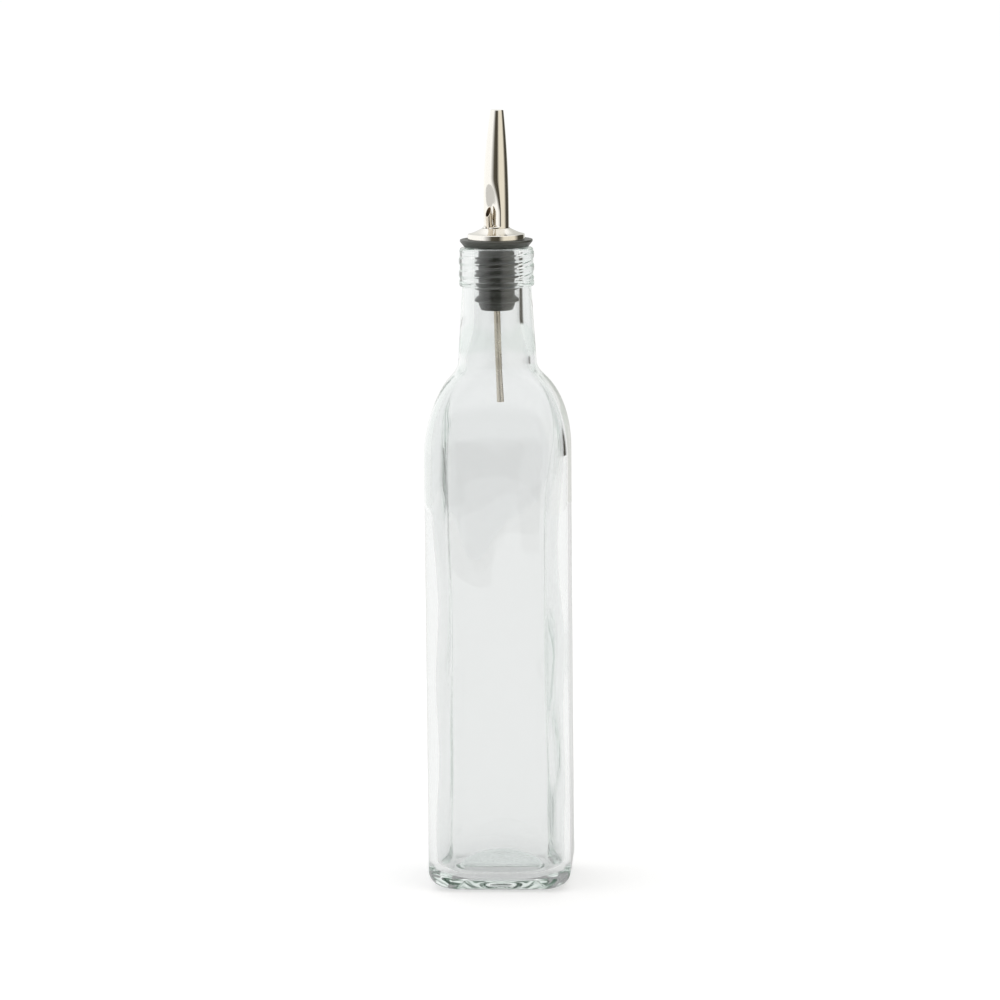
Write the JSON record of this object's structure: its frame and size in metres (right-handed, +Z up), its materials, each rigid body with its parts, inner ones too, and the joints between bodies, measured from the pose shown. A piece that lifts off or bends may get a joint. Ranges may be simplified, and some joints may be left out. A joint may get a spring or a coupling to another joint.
{
  "type": "glass oil bottle with pourer",
  "caption": "Square clear glass oil bottle with a rounded shoulder, threaded neck and a pull-out ribbed stopper that carries a tapered steel spout.",
  "frame": {"origin": "centre of the bottle's base, on the surface it stands on", "axes": "+Z up along the bottle's middle line; the front face looks towards -Y and the sides towards -X and +X"},
  "size_m": [0.058, 0.058, 0.3155],
  "materials": {
    "glass": "clear soda-lime glass, faint green",
    "rubber": "moulded dark grey rubber, satin",
    "spout_steel": "polished stainless steel",
    "cap_steel": "polished stainless steel, pressed",
    "vent_steel": "drawn stainless steel tube"
  },
  "bodies": {
    "bottle": {"bottle": "glass"},
    "pourer": {"stopper": "rubber"},
    "spout_head": {"spout": "spout_steel", "cap": "cap_steel", "vent_tube": "vent_steel"}
  },
  "joints": [
    {"name": "pourer_pull", "type": "slide", "parent": "bottle", "child": "pourer", "axis": [0, 0, 1], "range_m": [0, 0.075]},
    {"name": "spout_turn", "type": "hinge", "parent": "pourer", "child": "spout_head", "pos_m": [0, 0, 0.26], "axis": [0, 0, 1], "continuous": true}
  ]
}
